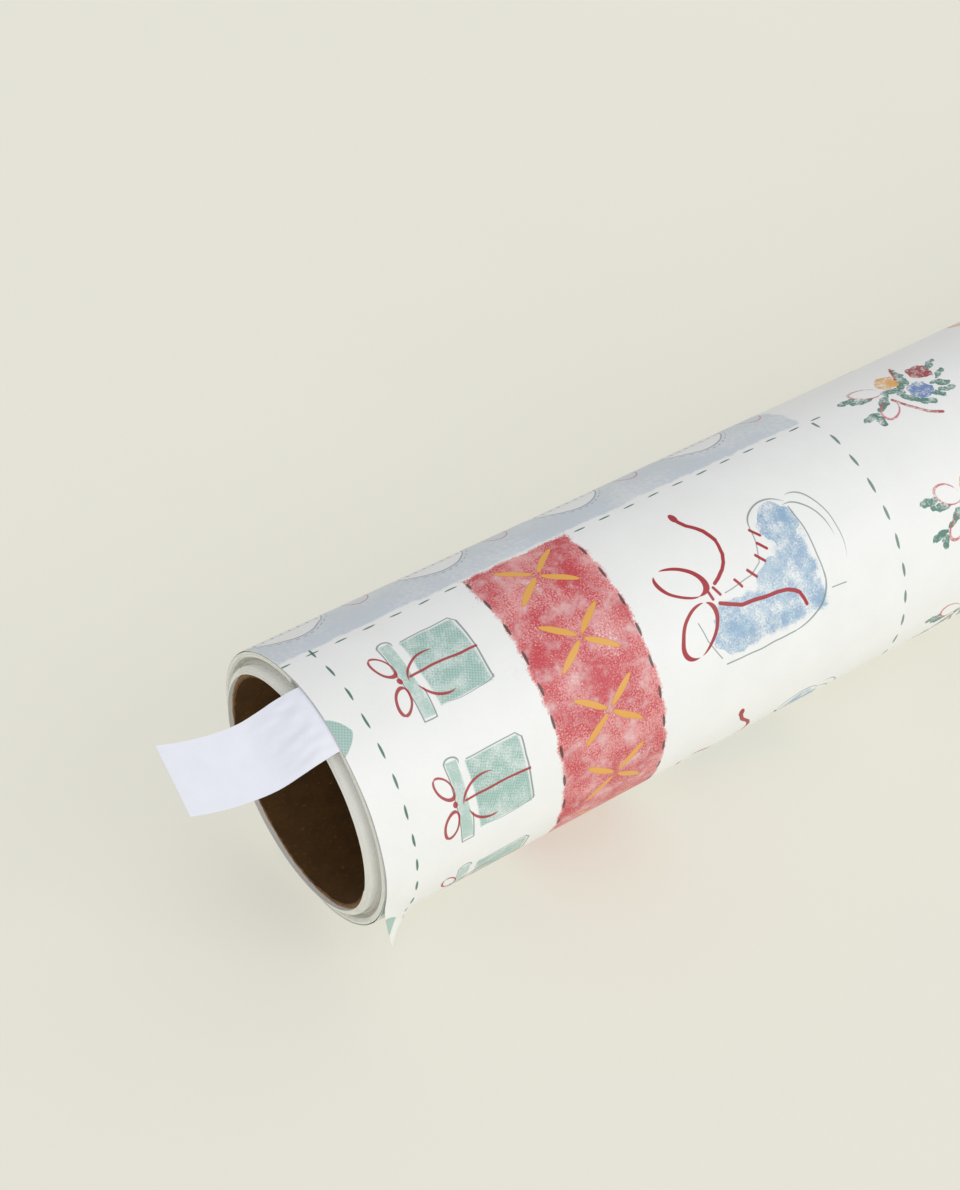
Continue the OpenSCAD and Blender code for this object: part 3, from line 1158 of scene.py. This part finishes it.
def ply(node, r_in, r_out, fluff, rim_board):
    """A tube whose ends are ragged by fluff millimetres.

    The seed comes from fluff too, so each ply is ragged in its own way.
    """
    seed = fluff * 20
    inner_line = [(x, r_in) for x in (RIM_NEAR, RIM_NEAR + 0.25, RIM_NEAR + 1.5)]
    inner_line += [(x, r_in) for x in spaced(RIM_NEAR + 50, RIM_FAR - 50, 100)]
    inner_line += [(x, r_in) for x in (RIM_FAR - 1.5, RIM_FAR - 0.25, RIM_FAR)]
    far_rim = [(RIM_FAR, r_in + (r_out - r_in) * t) for t in (0.33, 0.67)]
    outer_line = [(x, r_out) for x in (RIM_FAR, RIM_FAR - 0.25, RIM_NEAR + 0.25, RIM_NEAR)]
    near_rim = [(RIM_NEAR, r_out + (r_in - r_out) * t) for t in (0.33, 0.67)]
    profile = inner_line + far_rim + outer_line + near_rim
    count = len(profile)
    total = count * CORE_SIDES
    points, corners, quads, slots = [], [], [], []
    for k in range(CORE_SIDES):
        angle = 360 * k / CORE_SIDES
        a = math.radians(angle)
        for x, radius in profile:
            if RIM_NEAR + 0.1 <= x <= RIM_FAR - 0.1:
                points.append(at(x, radius, angle))
                continue
            turned = Vector((math.cos(a) * 9, math.sin(a) * 9, radius + seed))
            push = (noise.noise(turned) * 0.7 + noise.noise(turned * 4) * 0.5) * fluff
            pinch = noise.noise(Vector((angle / 3.1, radius * 2.0, seed))) * fluff * 0.3
            inward = abs(push) if x < 0 else -abs(push)
            points.append(at(x + inward, radius + pinch, angle))
        for i in range(count):
            j = (i + 1) % count
            a, b = k * count + i, k * count + j
            quads.append((a, b, (b + count) % total, (a + count) % total))
            slots.append(0 if i < len(inner_line) - 1 else 1)
            for corner, step in ((i, k), (j, k), (j, k + 1), (i, k + 1)):
                x, radius = profile[corner]
                around = 2 * math.pi * BORE_R * step / CORE_SIDES
                corners.append((x - CORE_NEAR + radius - r_in, around))
    piece = finish_mesh(node + "_board", points, quads, slots, corners, [shaded_bore_board, rim_board])
    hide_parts(node)
    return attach(piece, "core_pack")


PLIES = (("core_inner_ply", 0.30), ("core_middle_ply", 0.18), ("core_outer_ply", 0.24))
for i, (node, fluff) in enumerate(PLIES):
    r_in, r_out = BORE_R + i * PLY_T + PLY_GAP, BORE_R + (i + 1) * PLY_T - PLY_GAP
    print("ply:", ply(node, r_in, r_out, fluff, rim_boards[i]).name)

# %% Starting tape
for slot in frame["nodes"]["start_tape"].material_slots:
    slot.material = tape
print("tape: start_tape keeps its own mesh")

# %% [markdown]
# ## The loose turn
#
# The outermost turn starts close to the windings and stands a third of a millimetre off
# them from the tab on. Gift wrap that has been handled is faintly dented, so the
# radius also drifts by a few hundredths, and the cut edge ripples. The turn is built in
# lengths that meet edge to edge: it is one sheet, but shorter lengths let a game or
# web model carry a sharper print. Rows close to a joint are packed tightly, which
# keeps the shading unbroken across it.

# %% Loose turn
START_R, TIGHT_R, END_R = 23.04, 23.10, 23.42
FLAP_A = 95.0
LENGTHS = 4
SEAM_ROW = 0.15


def loose_radius(s, angle):
    """The turn lies close on the windings until the tab props it open."""
    share = (angle - SEAM_A) / (EDGE_A - SEAM_A)
    a = math.radians(angle)
    dent = noise.noise(Vector((s / 38, math.sin(a) * 1.3, math.cos(a) * 1.3))) * 0.05
    ripple = noise.noise(Vector((4.2, math.sin(a) * 5, math.cos(a) * 5))) * 0.08 * ease(1 - s / 5)
    opened = (END_R - TIGHT_R) * ease((angle + 45) / 60)
    return START_R + (TIGHT_R - START_R) * share + opened + dent + ripple


def edge_shift(s, angle):
    """How far the cut edge wanders, fading out a few millimetres into the sheet."""
    a = math.radians(angle)
    wander = noise.noise(Vector((1.7, math.sin(a) * 2.2, math.cos(a) * 2.2))) * 0.16
    return wander * (ease(1 - s / 20) + ease(1 - (SHEET_W - s) / 20))


def near_joint(stops, *joins):
    """Adds a tight row on each side of a joint between two pieces."""
    extra = [j + side * SEAM_ROW for j in joins for side in (-1, 1)]
    kept = [s for s in stops + extra if stops[0] <= s <= stops[-1]]
    return sorted(set(round(s, 4) for s in kept))


def on_roll(s, angle):
    """The point of the loose turn at a place on the flat sheet."""
    return at(SHEET_NEAR + s + edge_shift(s, angle), loose_radius(s, angle), angle)


def stops_along(part):
    """Where the columns of one length lie, with one on each line between two blocks."""
    start, end = SHEET_W * part / LENGTHS, SHEET_W * (part + 1) / LENGTHS
    ends = [start + s for s in BLOCK_ENDS]
    stops = spaced(start, ends[0], 7.0)
    if part == 0:
        stops = spaced(0, 12, 0.6) + spaced(12, ends[0], 1.5)[1:]
    for a, b in zip(ends, ends[1:]):
        stops += spaced(a, b, 7.0)[1:]
    return near_joint(stops, start, end)


def length_of_sheet(name, part, angles, surface):
    """One length of the printed sheet, laid on the surface given."""
    stops = stops_along(part)
    grid = [[surface(s, angle) for s in stops] for angle in angles]
    flat = [[(s, math.radians(angle) * R_PRINT) for s in stops] for angle in angles]
    piece = sheet(f"{name}_{part + 1}", grid, flat, PAPER_T, [back, cut, *prints], block_of)
    return piece


band_top, band_foot = (math.degrees(v / R_PRINT) for v in BAND_ROWS)
turn_angles = spaced(SEAM_A, band_top, 2.0) + spaced(band_top, band_foot, 2.0)[1:]
turn_angles = near_joint(turn_angles + spaced(band_foot, FLAP_A, 2.0)[1:], FLAP_A)
loose = [length_of_sheet("loose_turn_sheet", part, turn_angles, on_roll) for part in range(LENGTHS)]
for piece in loose:
    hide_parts("loose_turn")
    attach(piece, "loose_sheet")
print("loose turn:", sum(len(piece.data.polygons) for piece in loose), "faces")

# %% [markdown]
# ## The free edge and its curled corner
#
# On the real roll the last stretch of the sheet can be lifted. Here it is a separate
# mesh that starts at the hinge line. Its near corner has sprung off the roll.
# straight line at a time, like a page: past a slanting line across the corner, it
# rises faster and faster off the roll. So that the paper's length stays true, the
# corner also draws back towards that line as it rises.

# %% Tail with curled corner
CURL_ALONG, CURL_ROUND = 13.0, 15.2
CURL_RISE, CURL_BACK, CURL_TURN = 4.52, 2.61, 5.6
RISE_POWER, BACK_POWER = 1.86, 1.51


def tail_surface(s, angle):
    """A place on the tail, sprung outwards past the slanting line across its corner."""
    short = math.radians(EDGE_A - angle) * R_PRINT
    past = max(0.0, 1 - s / CURL_ALONG - short / CURL_ROUND)
    drawn_back = past ** BACK_POWER
    s_new = s + CURL_BACK * drawn_back
    angle_new = angle - CURL_TURN * drawn_back
    return on_roll(s_new, angle_new) + at(0.0, CURL_RISE * past ** RISE_POWER, angle_new)


tail_angles = near_joint(spaced(FLAP_A, EDGE_A, 0.75), FLAP_A)
tail = [length_of_sheet("tail_sheet", part, tail_angles, tail_surface) for part in range(LENGTHS)]
for piece in tail:
    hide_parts("tail_flap")
    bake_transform(piece)
print("tail:", sum(len(piece.data.polygons) for piece in tail), "faces")

# %% [markdown]
# ## The tab
#
# The tab is a strip of blank paper 12 mm wide. Under the loose turn it follows the
# roll's curve, outside it flattens, dips towards the bore, and rises again past a soft
# crease with a slight twist. Where a curved strip is forced flat it puckers, so fine
# wrinkles fan out from the place where it comes out.

# %% Tab
TAB_W, TAB_T, TAB_A = 12.0, 0.08, 18.0
TAB_R = 23.05
TAB_TUCK, TAB_CREASE, TAB_OUT = 22.0, 10.5, 24.5
TAB_DIP, TAB_RISE = 3.6, 5.6
TAB_SLANT = 0.1
FLAT_BY = 8.0
FOLDS, FINE_FOLDS, WAVER = 0.30, 0.10, 0.25


def tab_height(q):
    """Height over the tucked part, q millimetres out from the roll's end."""
    if q <= 0:
        return 0.0
    if q < TAB_CREASE:
        return -TAB_DIP * ease(q / TAB_CREASE)
    return -TAB_DIP + TAB_RISE * ((q - TAB_CREASE) / (TAB_OUT - TAB_CREASE)) ** 1.8


def tab_surface(q, w):
    """The tab's point q millimetres out from the roll's end and w to the side."""
    flatness = ease(q / FLAT_BY)
    bend = (1 - flatness) / TAB_R
    side = math.sin(bend * w) / bend if bend > 1e-6 else w
    drop = (1 - math.cos(bend * w)) / bend if bend > 1e-6 else 0.0
    pucker = math.exp(-((q - 4.0) / 3.4) ** 2) if q > 0 else 0.0
    fan = q * 0.30 + w * 0.22
    wrinkle = noise.noise(Vector((fan, w * 0.8 - q * 0.1, 2.2))) * FOLDS * pucker
    wrinkle += noise.noise(Vector((fan * 2.3, w * 1.9 - q * 0.2, 5.2))) * FINE_FOLDS * pucker
    waver = noise.noise(Vector((q * 0.07, w * 0.12, 9.1))) * WAVER * ease(q / TAB_W)
    height = tab_height(q) - drop + wrinkle + waver
    q += w * TAB_SLANT * ease(q / TAB_OUT)
    a = math.radians(TAB_A)
    up = Vector((0.0, -math.sin(a), math.cos(a)))
    out_side = Vector((0.0, -math.cos(a), -math.sin(a)))
    return Vector((SHEET_NEAR - q, 0, 0)) + up * (TAB_R + height) + out_side * side


tab_rows = spaced(-TAB_TUCK, 0, 2.0)[:-1] + spaced(0, TAB_OUT, 0.35)
tab_columns = spaced(TAB_W / 2, -TAB_W / 2, 0.4)
grid = [[tab_surface(q, w) for w in tab_columns] for q in tab_rows]
flat = [[(q, w) for w in tab_columns] for q in tab_rows]
tab = sheet("tab_strip", grid, flat, TAB_T, [tab_paper] * 3)
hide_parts("tab_tucked", "tab_free")
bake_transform(tab)
print("tab:", len(tab.data.polygons), "faces")

# %% [markdown]
# ## Floor, light and camera
#
# The roll lies on a pale cream ground with no visible edge. Most of the light is soft
# and comes from all round. Two broad lamps on the camera's side give the roll its soft
# shadow and make the near flank a little brighter.

# %% Floor
FLOOR_SIZE = 12.0
ground_paper = plain_paper(
    "cream_ground", (0.40, 0.392, 0.347), (60.0, 1.2, 1.0), shades=(0.985, 1.015),
    roughness=(0.8, 0.9), relief=None, place=solid_place, Specular_IOR_Level=0.15,
    Emission_Color=(1.0, 0.982, 0.868, 1.0), Emission_Strength=0.45,
)

half = FLOOR_SIZE / 2
ground_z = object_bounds()[0].z
mesh = bpy.data.meshes.new("ground")
mesh.from_pydata(
    [(x, y, ground_z) for x, y in ((-half, -half), (half, -half), (half, half), (-half, half))],
    [], [(0, 1, 2, 3)],
)
mesh.materials.append(ground_paper)
ground = bpy.data.objects.new("ground", mesh)
bpy.context.scene.collection.objects.link(ground)
ground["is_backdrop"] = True
print(f"ground at {ground_z / MM:.2f} mm")

# %% Light
world = bpy.data.worlds.new("studio")
world.use_nodes = True
sky = world.node_tree.nodes["Background"]
sky.inputs["Color"].default_value = (0.995, 1.0, 1.0, 1.0)
sky.inputs["Strength"].default_value = 0.66
bpy.context.scene.world = world

NEAR_END = Vector((SHEET_NEAR * MM, 0.0, 0.0))


def lamp(name, direction, distance, size, power, tint):
    """A square lamp that faces the near end of the roll."""
    data = bpy.data.lights.new(name, "AREA")
    data.size, data.energy, data.color = size, power, tint
    light = bpy.data.objects.new(name, data)
    away = Vector(direction).normalized()
    light.location = NEAR_END + away * distance
    light.rotation_mode = "QUATERNION"
    light.rotation_quaternion = away.to_track_quat("Z", "Y")
    bpy.context.scene.collection.objects.link(light)
    return light


key = lamp("key", (0.6, -1.25, 0.8), 4.0, 2.6, 52.0, (1.0, 1.0, 0.985))
fill = lamp("fill", (-0.8, -1.1, 0.6), 4.0, 3.2, 16.0, (1.0, 1.0, 1.0))
print("lamps:", key.name, fill.name)

# %% Camera
VIEW_TURN, VIEW_DOWN = math.radians(34.9), math.radians(42.46)
camera_data = bpy.data.cameras.new("camera")
camera_data.lens = 67.8
camera_data.clip_start, camera_data.clip_end = 0.01, 50.0
camera = bpy.data.objects.new("camera", camera_data)
camera.location = NEAR_END + Vector((-0.1111, -0.2067, 0.2536))
level = math.cos(VIEW_DOWN)
facing = Vector((math.sin(VIEW_TURN) * level, math.cos(VIEW_TURN) * level, -math.sin(VIEW_DOWN)))
camera.rotation_mode = "QUATERNION"
camera.rotation_quaternion = facing.to_track_quat("-Z", "Y")
bpy.context.scene.collection.objects.link(camera)
bpy.context.scene.camera = camera
bpy.context.scene.view_settings.view_transform = "Standard"
print(f"camera: {camera_data.lens:.1f} mm lens")

# %% [markdown]
# ## Sizes and finish
#
# The looks should fill the engineering model's box and pass it by well under a
# millimetre, so both boxes are printed side by side.

# %% Sizes and finish
visual_box = [list(corner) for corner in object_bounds()]
for name, box in (("CAD", cad_box), ("looks", visual_box)):
    print(name, [[round(value / MM, 2) for value in corner] for corner in box])
